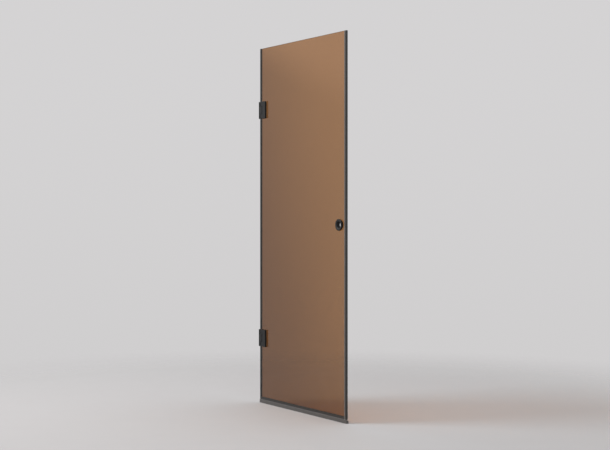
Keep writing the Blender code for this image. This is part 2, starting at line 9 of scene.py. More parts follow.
import bmesh
import bpy
from bpy.props import FloatProperty, FloatVectorProperty, IntProperty, PointerProperty
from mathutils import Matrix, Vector


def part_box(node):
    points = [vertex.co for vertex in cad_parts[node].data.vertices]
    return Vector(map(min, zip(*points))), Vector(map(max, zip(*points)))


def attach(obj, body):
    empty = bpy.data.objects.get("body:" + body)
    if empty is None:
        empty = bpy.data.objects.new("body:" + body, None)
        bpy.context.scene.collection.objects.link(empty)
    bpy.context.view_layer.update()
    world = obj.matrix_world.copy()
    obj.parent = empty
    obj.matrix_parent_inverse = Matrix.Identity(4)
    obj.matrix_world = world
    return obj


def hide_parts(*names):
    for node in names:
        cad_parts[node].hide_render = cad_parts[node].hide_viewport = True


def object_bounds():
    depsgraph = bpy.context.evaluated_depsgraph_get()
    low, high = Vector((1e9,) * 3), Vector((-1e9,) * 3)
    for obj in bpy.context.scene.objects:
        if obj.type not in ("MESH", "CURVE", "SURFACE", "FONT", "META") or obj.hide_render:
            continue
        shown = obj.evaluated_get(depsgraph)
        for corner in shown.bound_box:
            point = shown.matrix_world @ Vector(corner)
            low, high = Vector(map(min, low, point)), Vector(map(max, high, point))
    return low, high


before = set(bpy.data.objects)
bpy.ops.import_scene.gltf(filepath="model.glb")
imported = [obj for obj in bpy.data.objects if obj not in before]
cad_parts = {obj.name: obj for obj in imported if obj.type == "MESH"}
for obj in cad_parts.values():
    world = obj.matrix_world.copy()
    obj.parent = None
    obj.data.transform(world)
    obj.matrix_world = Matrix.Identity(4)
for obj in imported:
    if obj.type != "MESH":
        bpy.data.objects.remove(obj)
CAD_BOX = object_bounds()

bl_info = {
    "name": "Frameless shower door",
    "version": (1, 0, 0),
    "blender": (4, 5, 0),
    "location": "3D View > Sidebar > Shower door",
    "description": "Finishes the glass, hinges, pull, seals and profiles of a frameless shower door",
    "category": "Object",
}

MM = 0.001
OVERSHOOT = 2 * MM  # How far a cutting shape passes what it cuts
TOUCH = 0.001 * MM  # Points nearer than this are one point
SCREW_STEPS = 48  # Steps round a screw and round a bore
CORNER_STEPS = 16  # Steps round a rounded corner of the glass or of a hinge
FLOOR_STEPS = 128  # Steps round the floor
SOCKET_SIDES = 6  # Sides of the socket in a screw's head
LINE_DEPTH = 0.03 * MM  # Depth of the fine lines on drawn and extruded pieces
LINE_STRETCH = 0.004  # Scale of those lines along the piece
PEEL_DEPTH = 0.04 * MM  # Depth of the orange peel on the coat and of the grain of rubber
TURNING_DEPTH = 0.02 * MM  # Depth of the turning marks on the screws
GLASS_IOR = 1.5
SHARP_ANGLE = math.radians(34)  # Faces that meet at more than this keep a crisp edge
ROUNDED_ANGLE = math.radians(40)  # Edges of a CAD piece that turn more than this are rounded
FLAT_ANGLE = math.radians(0.5)  # Triangles that meet at less than this are one face
QUARTER = math.radians(90)
FIXED = "niche_fixings"
LEAF = "leaf"
PREFIXES = ("lower", "upper")


def middle_of(node):
    """The middle of a CAD node's box."""
    low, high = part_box(node)
    return (low + high) / 2


def half_of(node):
    """Half the width, depth and height of a CAD node's box."""
    low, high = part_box(node)
    return (high - low) / 2


# Sizes that the frame gives
GLASS_LOW, GLASS_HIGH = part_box("glass_pane")
HALF_GLASS = GLASS_HIGH.y
PIN_X = middle_of("lower_hinge_pin").x
PIN_RADIUS = half_of("lower_hinge_pin").x
PLATE_HALF_HEIGHT = half_of("lower_hinge_outer_plate").z
KNUCKLE_HALF_HEIGHT = half_of("lower_hinge_knuckle").z
BARREL_RADIUS = -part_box("lower_hinge_knuckle")[0].y
GASKET_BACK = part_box("lower_hinge_inner_gasket")[1].y
PULL_MIDDLE = middle_of("pull_outer_ring")
FLOOR_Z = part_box("threshold")[0].z
HINGE_MIDDLES = [middle_of(f"{prefix}_hinge_knuckle").z for prefix in PREFIXES]


def setting(kind, **limits):
    """A maker of one kind of setting that a user can change."""

    def make(name, default, description, **more):
        return kind(name=name, default=default, description=description, **{**limits, **more})

    return make


length = setting(FloatProperty, min=0.0, max=1.0, unit="LENGTH", precision=5)
position = setting(FloatVectorProperty, size=3, subtype="TRANSLATION", unit="LENGTH")
colour = setting(FloatVectorProperty, min=0.0, max=1.0, size=3, subtype="COLOR")
share = setting(FloatProperty, min=0.0, max=1.0, subtype="FACTOR")
count = setting(IntProperty, min=24, max=512)
power = setting(FloatProperty, min=0.0, unit="POWER")
optics = setting(FloatProperty, min=1.0, unit="CAMERA")
rotation = setting(FloatProperty, subtype="ANGLE", unit="ROTATION")
number = setting(FloatProperty)


class DoorGlassSettings(bpy.types.PropertyGroup):
    """Sizes and colours of the pane."""

    # Painted shade and light: these tints and shares paint a darker tint towards the foot and the hinged
    # edge and a lighter one towards the closing edge and in the upper corner, in place of the shade and
    # light seen through the glass; drift wanders this painted gradient at random.
    painted_light_tint: colour("Top tint", (0.50, 0.25, 0.104), "Tint in the upper corner")
    light_tint: colour("Light tint", (0.43, 0.208, 0.076), "Tint towards the closing edge")
    painted_shade_tint: colour("Deep tint", (0.194, 0.082, 0.028), "Tint near the foot and the hinged edge")
    sideways: share("Sideways share", 0.52, "Share of the change of tint that runs across")
    drift: share("Drift", 0.08, "How far the tint wanders")
    corner_slant: share("Corner slant", 0.163, "How far the light corner leans to the closing edge")
    corner_start: share("Corner start", 0.93, "Height at which the light corner starts")
    corner_fade: share("Corner fade", 0.17, "Height over which the light corner comes in")
    edge_tint: colour("Edge tint", (0.20, 0.095, 0.045), "Tint of the polished edges")
    edge_roughness: share("Edge roughness", 0.12, "Roughness of the polished edges")
    arris: length("Arris", 0.8 * MM, "Width of the small bevel round the pane")
    notch_radius: length("Notch radius", 8 * MM, "Radius of the corners of the hinge notches")
    notch_gap: length("Notch gap", 1 * MM, "Gap between a hinge's bosses and the notch")
    grip_band: length("Grip band", 7.5 * MM, "Height gripped above and below a notch")
    pull_hole_radius: length("Pull hole radius", 19 * MM, "Radius of the hole for the ring pull")


class DoorHingeSettings(bpy.types.PropertyGroup):
    """Sizes and colours of the hinges."""

    coat_colour: colour("Coat", (0.0185, 0.0187, 0.0193), "Colour of the powder coat")
    coat_roughness: share("Coat roughness", 0.58, "Roughness of the powder coat")
    steel_colour: colour("Steel", (0.11, 0.11, 0.115), "Colour of the blackened screws and pins")
    steel_roughness: share("Steel roughness", 0.32, "Roughness of the blackened steel")
    edge_radius: length("Edge radius", 1.6 * MM, "Radius of the clamp plates' upright edge")
    end_radius: length("End radius", 0.8 * MM, "Radius of the rounding at the ends of the blocks")
    plate_softness: length("Plate softness", 0.35 * MM, "Radius of the wall plates' edges")
    neck: length("Neck", 20 * MM, "Width of the knuckle's neck")
    knuckle_gap: length("Knuckle gap", 2 * MM, "Gap between the knuckle's nose and the plates")
    knuckle_end_gap: length("Knuckle end gap", 1.5 * MM, "Gap above and below the knuckle")
    boss_reach: length("Boss reach", 12 * MM, "Reach of the bosses from the pin to the wall")
    socket_share: share("Socket share", 0.75, "Radius of a socket, as a share of its shank's")
    bore_gap: length("Bore gap", 0.3 * MM, "Gap round a pin or a screw")
    screw_rim: length("Screw rim", 0.4 * MM, "Height of a head's straight rim")
    socket_depth: length("Socket depth", 1.8 * MM, "Depth of the socket in a screw's head")
    segments: count("Segments", 96, "Steps in a full turn of the barrel")


class DoorPullSettings(bpy.types.PropertyGroup):
    """Sizes of the ring pull."""

    bore_radius: length("Bore radius", 15 * MM, "Radius of the finger hole")
    lip_radius: length("Lip radius", 9 * MM, "Radius of the lip round the finger hole")
    edge_radius: length("Edge radius", 2 * MM, "Radius of the outer edge")
    sleeve_wall: length("Sleeve wall", 2.5 * MM, "Wall of the sleeve through the glass")
    inner_edge_radius: length("Inner edge radius", 1 * MM, "Radius of the inside ring's edges")
    segments: count("Segments", 160, "Steps in a full turn")
    corner_steps: count("Corner steps", 20, "Steps round a rounded corner", min=2)


class DoorSealSettings(bpy.types.PropertyGroup):
    """Colours of the seals and the slim profiles."""

    dark_colour: colour("Dark seal", (0.026, 0.024, 0.021), "Colour of the seals at hinges and floor")
    grey_colour: colour("Grey seal", (0.150, 0.140, 0.135), "Colour of the seal on the closing edge")
    rubber_colour: colour("Rubber", (0.022, 0.021, 0.020), "Colour of the gaskets and washers")
    profile_colour: colour("Profile", (0.055, 0.054, 0.051), "Colour of the closing profile")
    threshold_colour: colour("Threshold", (0.142, 0.136, 0.130), "Colour of the bar on the floor")
    rubber_roughness: share("Rubber roughness", 0.73, "Roughness of the gaskets and washers")
    seal_roughness: share("Seal roughness", 0.47, "Roughness of the seals")
    profile_roughness: share("Profile roughness", 0.43, "Roughness of profile and threshold")
    profile_metal: share("Profile metal", 0.6, "How metallic profile and threshold look")
    edge_softness: length("Edge softness", 0.25 * MM, "Radius of the edges of the drawn profiles")


class DoorStageSettings(bpy.types.PropertyGroup):
    """The floor, the light and the camera."""

    floor_colour: colour("Floor", (0.505, 0.492, 0.494), "Colour of the floor")
    upper_colour: colour("Upper backdrop", (0.66, 0.65, 0.655), "Colour of the backdrop above the floor")
    lower_colour: colour("Lower backdrop", (0.58, 0.57, 0.57), "Colour of the backdrop towards the floor")
    floor_roughness: share("Floor roughness", 0.75, "Roughness of the floor")
    floor_radius: length("Floor radius", 12.0, "Radius of the floor", max=100.0)
    fade_start: length("Fade start", 1.2, "Distance at which the floor starts to fade", max=50.0)
    fade_end: length("Fade end", 3.4, "Distance at which the floor has faded", max=50.0)
    backdrop_low: number("Backdrop low", -0.45, "Slope of a view where the backdrop starts to turn")
    backdrop_high: number("Backdrop high", 0.16, "Slope of a view where the backdrop has turned")
    ambient: share("Ambient light", 0.50, "Strength of the even light from all round")
    key_power: power("Key light", 250.0, "Power of the main lamp")
    key_size: length("Key size", 2.6, "Width of the main lamp", max=20.0)
    key_place: position("Key place", (-1.6, -4.2, 4.6), "Place of the main lamp")
    top_power: power("Top light", 85.0, "Power of the lamp overhead")
    top_size: length("Top size", 3.2, "Width of the lamp overhead", max=20.0)
    top_place: position("Top place", (0.2, 0.3, 5.0), "Place of the lamp overhead")
    camera_place: position("Camera", (6.34, -3.62, 0.697), "Place of the camera")
    camera_turn: rotation("Camera turn", math.radians(58.3), "Turn of the camera from looking along +Y")
    sensor: optics("Sensor", 36.0, "Width of the camera's sensor")
    lens: optics("Lens", 76.0, "Focal length of the camera")
    shift: number("Shift", -0.0174, "Upward shift, as a share of the width")


class Value:
    """A number socket that takes part in sums."""

    def __init__(self, nodes, socket):
        self.nodes = nodes
        self.socket = socket

    def maths(self, operation, *others, swapped=False):
        """The socket that this operation gives; swapped puts the other value first."""
        values = [self, *others]
        if swapped:
            values.reverse()
        node = self.nodes.node("ShaderNodeMath", {"operation": operation}, dict(enumerate(values)))
        return self.nodes.value(node)

    def __add__(self, other):
        return self.maths("ADD", other)

    def __sub__(self, other):
        return self.maths("SUBTRACT", other)

    def __rsub__(self, other):
        return self.maths("SUBTRACT", other, swapped=True)

    def __mul__(self, other):
        return self.maths("MULTIPLY", other)

    def __truediv__(self, other):
        return self.maths("DIVIDE", other)

    def __rtruediv__(self, other):
        return self.maths("DIVIDE", other, swapped=True)

    __radd__ = __add__
    __rmul__ = __mul__

    def spread(self, width):
        """A value from 0 to 1 as one that runs over this width about zero."""
        return (self - 0.5) * width

    def smooth(self, low, high):
        """0 at low, 1 at high, with soft ends."""
        settings = {"interpolation_type": "SMOOTHSTEP"}
        inputs = {"Value": self, "From Min": low, "From Max": high}
        node = self.nodes.node("ShaderNodeMapRange", settings, inputs)
        return self.nodes.value(node, "Result")


class Nodes:
    """A node tree in the making, and the one method that adds a node."""

    def __init__(self, tree):
        self.tree = tree

    def node(self, kind, settings=None, inputs=None):
        """Adds a node, sets it up, then gives its sockets their values or links."""
        node = self.tree.nodes.new(kind)
        for key, choice in (settings or {}).items():
            setattr(node, key, choice)
        for key, given in (inputs or {}).items():
            self.give(node.inputs[key], given)
        return node

    def give(self, socket, given):
        """Links a socket, or sets its value."""
        if isinstance(given, Value):
            given = given.socket
        if isinstance(given, bpy.types.NodeSocket):
            self.tree.links.new(given, socket)
        elif socket.type == "RGBA" and len(given) == 3:
            socket.default_value = (*given, 1.0)
        else:
            socket.default_value = given

    def value(self, node, output=0):
        """A node's output as a number for sums."""
        return Value(self, node.outputs[output])


class Shape(Nodes):
    """A Geometry Nodes tree in the making, with named inputs."""

    def __init__(self, name, vectors, sizes, counts=()):
        super().__init__(bpy.data.node_groups.new(name, "GeometryNodeTree"))
        interface = self.tree.interface
        interface.new_socket("Geometry", in_out="OUTPUT", socket_type="NodeSocketGeometry")
        kinds = {"Vector": vectors, "Float": sizes, "Int": counts, "Material": ("Material",)}
        for kind, names in kinds.items():
            for given in names:
                interface.new_socket(given, in_out="INPUT", socket_type=f"NodeSocket{kind}")
        self.given = self.tree.nodes.new("NodeGroupInput")

    def __getitem__(self, name):
        """A named input, as a number for sums."""
        return self.value(self.given, name)

    def point(self, x=0.0, y=0.0, z=0.0):
        """A place from its three coordinates."""
        return self.node("ShaderNodeCombineXYZ", {}, {"X": x, "Y": y, "Z": z}).outputs[0]

    def step(self, kind, mesh, settings=None, **inputs):
        """What comes out when a mesh or a curve goes through one node."""
        named = {key.replace("_", " "): given for key, given in inputs.items()}
        return self.node(kind, settings, {0: mesh, **named}).outputs[0]

    def moved(self, mesh, offset, turn=(0.0, 0.0, 0.0)):
        """A mesh turned about its origin and then moved."""
        return self.step("GeometryNodeTransform", mesh, Translation=offset, Rotation=turn)

    def drum(self, radius, depth, top, sides):
        """A cylinder or a prism that stands on the Z axis, below the height top."""
        inputs = {"Vertices": sides, "Radius": radius, "Depth": depth}
        mesh = self.node("GeometryNodeMeshCylinder", {}, inputs).outputs["Mesh"]
        return self.moved(mesh, self.point(z=top - depth * 0.5))

    def by_index(self, kind, values):
        """A field that gives each point of a line its own value; kind is FLOAT or VECTOR."""
        switch = self.node("GeometryNodeIndexSwitch", {"data_type": kind})
        while len(switch.index_switch_items) < len(values):
            switch.index_switch_items.new()
        self.give(switch.inputs["Index"], self.node("GeometryNodeInputIndex").outputs[0])
        for socket, given in zip(switch.inputs[1:], values):
            self.give(socket, given)
        return switch.outputs[0]

    def turned(self, corners, around, steps, corner_steps):
        """A body turned about Z from its profile's corners: (radius, height, rounding)."""
        places = [self.point(radius - around, 0 - height) for radius, height, _ in corners]
        line = self.node("GeometryNodeMeshLine", {}, {"Count": len(corners)}).outputs["Mesh"]
        placed = self.step("GeometryNodeSetPosition", line, Position=self.by_index("VECTOR", places))
        curve = self.step("GeometryNodeMeshToCurve", placed)
        closed = self.step("GeometryNodeSetSplineCyclic", curve, Cyclic=True)
        radii = self.by_index("FLOAT", [rounding for *_, rounding in corners])
        settings = {"mode": "POLY"}
        profile = self.step("GeometryNodeFilletCurve", closed, settings, Count=corner_steps, Radius=radii)
        inputs = {"Resolution": steps, "Radius": around}
        path = self.node("GeometryNodeCurvePrimitiveCircle", {"mode": "RADIUS"}, inputs).outputs[0]
        swept = self.step("GeometryNodeCurveToMesh", path, Profile_Curve=profile)
        return self.step("GeometryNodeMergeByDistance", swept, Distance=TOUCH)

    def pair(self, item, start, spacing, turn=(0.0, 0.0, 0.0)):
        """Two of an item, one above the other."""
        inputs = {"Count": 2, "Start Location": start, "Offset": self.point(z=spacing)}
        line = self.node("GeometryNodeMeshLine", {"mode": "OFFSET"}, inputs).outputs["Mesh"]
        return self.step("GeometryNodeInstanceOnPoints", line, Instance=item, Rotation=turn)

    def end(self, mesh):
        """Ends the tree with a real mesh in its finish."""
        real = self.step("GeometryNodeRealizeInstances", mesh)
        material = self.given.outputs["Material"]
        self.node("NodeGroupOutput", {}, {0: self.step("GeometryNodeSetMaterial", real, Material=material)})
        return self


class Finish(Nodes):
    """The look of a material or a world in the making."""

    def __init__(self, owner):
        owner.use_nodes = True
        super().__init__(owner.node_tree)
        self.owner = owner
        self.shader = self.tree.nodes.get("Principled BSDF")

    def feed(self, **sockets):
        """Gives the shader's sockets their values or links, and gives back the material."""
        for key, given in sockets.items():
            self.give(self.shader.inputs[key.replace("_", " ")], given)
        return self.owner

    def where(self, scale=(1, 1, 1)):
        """Object coordinates, scaled on each axis."""
        place = self.node("ShaderNodeTexCoord").outputs["Object"]
        return self.node("ShaderNodeMapping", {}, {"Vector": place, "Scale": scale}).outputs[0]

    def axes(self):
        """The three object coordinates as numbers."""
        node = self.node("ShaderNodeSeparateXYZ", {}, {0: self.where()})
        return [Value(self, output) for output in node.outputs]

    def noise(self, scale, detail=3.0, roughness=0.5, stretch=(1, 1, 1)):
        """Soft noise from 0 to 1; scale is in features a metre."""
        inputs = {"Vector": self.where(stretch), "Scale": scale, "Detail": detail, "Roughness": roughness}
        return self.value(self.node("ShaderNodeTexNoise", {}, inputs), "Fac")

    def mixed(self, factor, first, second):
        """A colour between two others."""
        settings = {"data_type": "RGBA"}
        return self.node("ShaderNodeMix", settings, {0: factor, 6: first, 7: second}).outputs[2]

    def varied(self, factor, tint, low, high):
        """A tint that runs from low to high times itself."""
        return self.mixed(factor, scaled(tint, low), scaled(tint, high))

    def bump(self, height, distance, strength=1.0):
        """A normal bumped by a height from 0 to 1, which stands for this distance in metres."""
        inputs = {"Height": height, "Distance": distance, "Strength": strength}
        return self.node("ShaderNodeBump", {}, inputs).outputs[0]


def principled(name, **sockets):
    """A new material's Finish, its shader given these values."""
    finish = Finish(bpy.data.materials.new(name))
    finish.feed(**sockets)
    return finish


def scaled(tint, factor):
    """A colour made lighter or darker by a factor."""
    return tuple(min(1.0, part * factor) for part in tint)


def shared(name, maker, settings):
    """A material that several steps use, made by the first of them that runs."""
    return bpy.data.materials.get(name) or maker(settings)


def let_light_through(finish, tint):
    """Lets the lamps' light pass through glass, tinted at each of its two faces."""
    one_face = tuple(math.sqrt(part) for part in tint)
    path = finish.node("ShaderNodeLightPath")
    clear = finish.node("ShaderNodeBsdfTransparent", {}, {"Color": one_face})
    inputs = {0: path.outputs["Is Shadow Ray"], 1: finish.shader.outputs[0], 2: clear.outputs[0]}
    both = finish.node("ShaderNodeMixShader", {}, inputs)
    output = finish.tree.nodes["Material Output"]
    finish.give(output.inputs["Surface"], both.outputs[0])


def glass_material(settings):
    """Bronze glass with painted shade that deepens its tint towards the foot and the hinged edge, and
    painted light in one corner.
    """
    finish = principled("tinted_glass", Transmission_Weight=1.0, Roughness=0.0, IOR=GLASS_IOR)
    x, _, z = finish.axes()
    across = (x - GLASS_LOW.x) / (GLASS_HIGH.x - GLASS_LOW.x)
    upward = (z - GLASS_LOW.z) / (GLASS_HIGH.z - GLASS_LOW.z)
    drift = finish.noise(1.2, detail=1.0).spread(settings.drift)
    # Painted shade and light: a mask that is dark at the foot and the hinged edge and light towards the
    # closing edge and the top.
    painted_light_mask = (across * settings.sideways + upward * (1 - settings.sideways) + drift).smooth(0.0, 1.0)
    start, end = settings.corner_start, settings.corner_start + settings.corner_fade
    # Painted light: lifts the tint in the upper corner, leaning towards the closing edge.
    corner = (upward + across * settings.corner_slant).smooth(start, end)
    # The tint with painted shade towards the foot and the hinged edge and painted light towards the closing
    # edge.
    body = finish.mixed(painted_light_mask, settings.painted_shade_tint, settings.light_tint)
    let_light_through(finish, [(a + b) / 2 for a, b in zip(settings.painted_shade_tint, settings.light_tint)])
    return finish.feed(Base_Color=finish.mixed(corner, body, settings.painted_light_tint))


def glass_edge_material(settings):
    """The ground and polished edge, deeper in colour than the faces."""
    rough = settings.edge_roughness
    finish = principled("tinted_glass_edge", Transmission_Weight=1.0, Roughness=rough, IOR=GLASS_IOR)
    streak = finish.noise(900.0, detail=2.0, stretch=(1, 0.2, 1))
    let_light_through(finish, settings.edge_tint)
    return finish.feed(Base_Color=finish.varied(streak, settings.edge_tint, 0.8, 1.2))


def coat_material(settings):
    """Satin black powder coat: faint orange peel, cloudy gloss and a few paler flecks."""
    finish = principled("satin_black_coat", Specular_IOR_Level=0.25)
    cloud = finish.noise(60.0)
    speck = finish.noise(2400.0, detail=2.0)
    fleck = finish.noise(220.0, detail=4.0).smooth(0.60, 0.80) * 0.5
    base = finish.varied(cloud, settings.coat_colour, 0.85, 1.15)
    peel = finish.noise(1500.0, detail=2.0, roughness=0.45)
    return finish.feed(
        Base_Color=finish.mixed(fleck, base, scaled(settings.coat_colour, 2.0)),
        Roughness=cloud.spread(0.10) + speck.spread(0.08) + settings.coat_roughness,
        Normal=finish.bump(peel, PEEL_DEPTH, 0.5),
    )


def steel_material(settings):
    """Blackened steel with fine turning marks and a cloudy oxide."""
    finish = principled("blackened_steel", Metallic=1.0)
    cloud = finish.noise(400.0, detail=4.0)
    return finish.feed(
        Base_Color=finish.varied(cloud, settings.steel_colour, 0.75, 1.3),
        Roughness=cloud.spread(0.16) + settings.steel_roughness,
        Normal=finish.bump(finish.noise(3000.0, detail=2.0), TURNING_DEPTH, 0.4),
    )


def rubber_material(settings):
    """Dull black rubber."""
    finish = principled("dull_rubber", Specular_IOR_Level=0.3)
    cloud = finish.noise(250.0, detail=4.0)
    return finish.feed(
        Base_Color=finish.varied(cloud, settings.rubber_colour, 0.8, 1.3),
        Roughness=cloud.spread(0.14) + settings.rubber_roughness,
        Normal=finish.bump(finish.noise(1800.0), PEEL_DEPTH, 0.5),
    )


def drawn_material(name, tint, along, roughness, metallic=0.0):
    """A finish with fine lines along the way a profile was drawn or extruded."""
    finish = principled(name, Metallic=metallic, Specular_IOR_Level=0.45)
    stretch = [LINE_STRETCH if axis == along else 1.0 for axis in "XYZ"]
    lines = finish.noise(1600.0, roughness=0.6, stretch=stretch)
    cloud = finish.noise(14.0)
    return finish.feed(
        Base_Color=finish.varied(lines * 0.6 + cloud * 0.4, tint, 0.80, 1.20),
        Roughness=lines.spread(0.14) + cloud.spread(0.10) + roughness,
        Normal=finish.bump(lines, LINE_DEPTH, 0.6),
    )


def arc(centre, radius, start, end, steps):
    """Points on an arc, from the angle start to the angle end in degrees."""
    points = []
    for step in range(steps + 1):
        angle = math.radians(start + (end - start) * step / steps)
        points.append((centre[0] + radius * math.cos(angle), centre[1] + radius * math.sin(angle)))
    return points


def prism(outline, place, along):
    """Extrudes an outline of (a, b) points; place(a, b) puts one in space, along is the sweep."""
    bm = bmesh.new()
    face = bm.faces.new([bm.verts.new(place(a, b)) for a, b in outline])
    swept = bmesh.ops.extrude_face_region(bm, geom=[face])
    moved = [item for item in swept["geom"] if isinstance(item, bmesh.types.BMVert)]
    bmesh.ops.translate(bm, vec=along, verts=moved)
    return bm


def upright(outline, bottom, top):
    """Extrudes an outline of (x, y) points from bottom to top."""
    return prism(outline, lambda x, y: (x, y, bottom), (0, 0, top - bottom))


def across_glass(outline, front, back):
    """Extrudes an outline of (x, z) points from Y = front to Y = back."""
    return prism(outline, lambda x, z: (x, front, z), (0, back - front, 0))


def turned(profile, place, steps):
    """Turns a profile of (radius, height) points about its axis and caps both ends."""
    bm = bmesh.new()
    rings = []
    for step in range(steps):
        angle = math.tau * step / steps
        cos, sin = math.cos(angle), math.sin(angle)
        rings.append([bm.verts.new(place(radius * cos, radius * sin, height)) for radius, height in profile])
    for step, ring in enumerate(rings):
        following = rings[(step + 1) % steps]
        for index in range(len(profile) - 1):
            bm.faces.new((ring[index], ring[index + 1], following[index + 1], following[index]))
    bm.faces.new([ring[0] for ring in rings])
    bm.faces.new([ring[-1] for ring in rings])
    return bm


def round_ends(bm, radius, axis, values, segments=3):
    """Rounds the edges that lie in the planes where the axis has one of the values."""
    pairs = [(edge, value) for edge in bm.edges for value in values]
    chosen = [
        edge for edge, value in pairs if all(abs(vert.co[axis] - value) < TOUCH for vert in edge.verts)
    ]
    bmesh.ops.bevel(bm, geom=chosen, offset=radius, segments=segments, affect="EDGES", profile=0.5)


def linked(name, data):
    """An object with this data, linked to the scene."""
    obj = bpy.data.objects.new(name, data)
    bpy.context.scene.collection.objects.link(obj)
    return obj


def dress(mesh, *materials):
    """Gives a mesh these materials in place of its own."""
    mesh.materials.clear()
    for material in materials:
        mesh.materials.append(material)


def made_object(name, bm):
    """A bmesh in world coordinates as an object at the origin; it must be closed."""
    bmesh.ops.remove_doubles(bm, verts=bm.verts, dist=0.1 * TOUCH)
    bmesh.ops.recalc_face_normals(bm, faces=bm.faces)
    if any(len(edge.link_faces) != 2 for edge in bm.edges):
        raise RuntimeError(f"{name} isn't one closed shape")
    mesh = bpy.data.meshes.new(name)
    bm.to_mesh(mesh)
    bm.free()
    return linked(name, mesh)


def settle(obj):
    """Turns an object's modifiers into plain mesh."""
    bpy.context.view_layer.update()
    evaluated = obj.evaluated_get(bpy.context.evaluated_depsgraph_get())
    mesh = bpy.data.meshes.new_from_object(evaluated)
    mesh.name = obj.name
    obj.modifiers.clear()
    obj.data = mesh


def shaped(obj, operation, *tools):
    """Cuts obj by each tool, or joins each to it, and clears the tools away."""
    for tool in tools:
        modifier = obj.modifiers.new(tool.name, "BOOLEAN")
        modifier.operation = operation
        modifier.solver = "EXACT"
        modifier.object = tool
    settle(obj)
    for tool in tools:
        bpy.data.objects.remove(tool, do_unlink=True)


def finished(obj, material, body, slot, *nodes):
    """Shades a piece evenly, gives it its finish and its body, and puts it in place of CAD nodes."""
    mesh = obj.data
    mesh.shade_smooth()
    mesh.set_sharp_from_angle(angle=SHARP_ANGLE)
    if material is not None:
        dress(mesh, material)
    modifier = obj.modifiers.new("even_shading", "WEIGHTED_NORMAL")
    modifier.keep_sharp = True
    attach(obj, body)
    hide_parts(*nodes)


def soften(node, name, radius, material, body, slot, segments=3):
    """Puts a copy of a CAD node, with merged faces and rounded edges, in the node's place."""
    bm = bmesh.new()
    bm.from_mesh(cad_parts[node].data)
    bmesh.ops.remove_doubles(bm, verts=bm.verts, dist=TOUCH)
    bmesh.ops.dissolve_limit(bm, angle_limit=FLAT_ANGLE, verts=bm.verts, edges=bm.edges)
    sharp = [edge for edge in bm.edges if edge.calc_face_angle(0.0) > ROUNDED_ANGLE]
    bmesh.ops.bevel(
        bm, geom=sharp, offset=radius, segments=segments, affect="EDGES", profile=0.5, clamp_overlap=True
    )
    finished(made_object(name, bm), material, body, slot, node)


def grown(name, shape, values):
    """What a Geometry Nodes tree makes of these values, as a plain mesh object."""
    source = linked(name, bpy.data.meshes.new(name))
    modifier = source.modifiers.new(name, "NODES")
    modifier.node_group = shape.tree
    for item in shape.tree.interface.items_tree:
        if item.in_out == "INPUT":
            modifier[item.identifier] = values[item.name]
    settle(source)
    if not source.data.polygons:
        raise RuntimeError(f"{name} came out empty")
    bm = bmesh.new()
    bm.from_mesh(source.data)
    bpy.data.objects.remove(source, do_unlink=True)
    return made_object(name, bm)


def knuckle_space(hinges):
    """The space kept for a knuckle: how far it runs from the wall, and half its height."""
    reach = PIN_X + BARREL_RADIUS + hinges.knuckle_gap
    return reach, KNUCKLE_HALF_HEIGHT + hinges.knuckle_end_gap


def about_pin(x, y, height):
    """Places a turned point about the axis of the hinges."""
    return (PIN_X + x, y, height)


def rod(name, place, radius, low, high, steps):
    """A cylinder between two heights of place's axis."""
    return made_object(name, turned([(radius, low), (radius, high)], place, steps))


class DOOR_OT_glass(bpy.types.Operator):
    """Makes the pane, with its notches, its pull hole and its polished edges"""

    bl_idname = "door.glass"
    bl_label = "Glass pane"

    def execute(self, context):
        settings = context.scene.door_glass
        notch_x = knuckle_space(context.scene.door_hinges)[0] + settings.notch_gap
        half = PLATE_HALF_HEIGHT - settings.grip_band
        radius = settings.notch_radius
        outline = [(GLASS_LOW.x, GLASS_LOW.z), (GLASS_HIGH.x, GLASS_LOW.z)]
        outline += [(GLASS_HIGH.x, GLASS_HIGH.z), (GLASS_LOW.x, GLASS_HIGH.z)]
        for middle in reversed(HINGE_MIDDLES):
            outline.append((GLASS_LOW.x, middle + half))
            outline += arc((notch_x - radius, middle + half - radius), radius, 90, 0, CORNER_STEPS)
            outline += arc((notch_x - radius, middle - half + radius), radius, 0, -90, CORNER_STEPS)
            outline.append((GLASS_LOW.x, middle - half))
        bm = across_glass(outline, -HALF_GLASS, HALF_GLASS)
        round_ends(bm, settings.arris, 1, (-HALF_GLASS, HALF_GLASS), segments=1)
        pane = made_object("bronze_pane", bm)
        reach = HALF_GLASS + OVERSHOOT
        drill = rod(
            "pull_hole_drill",
            lambda x, y, height: (PULL_MIDDLE.x + x, height, PULL_MIDDLE.z + y),
            settings.pull_hole_radius, -reach, reach, 2 * SCREW_STEPS,
        )
        shaped(pane, "DIFFERENCE", drill)
        dress(pane.data, glass_material(settings), glass_edge_material(settings))
        for face in pane.data.polygons:
            polished = abs(face.normal.y) > math.cos(SHARP_ANGLE)
            face.material_index = 0 if polished else 1
        finished(pane, None, LEAF, "bronze_glass", "glass_pane")
        return {"FINISHED"}


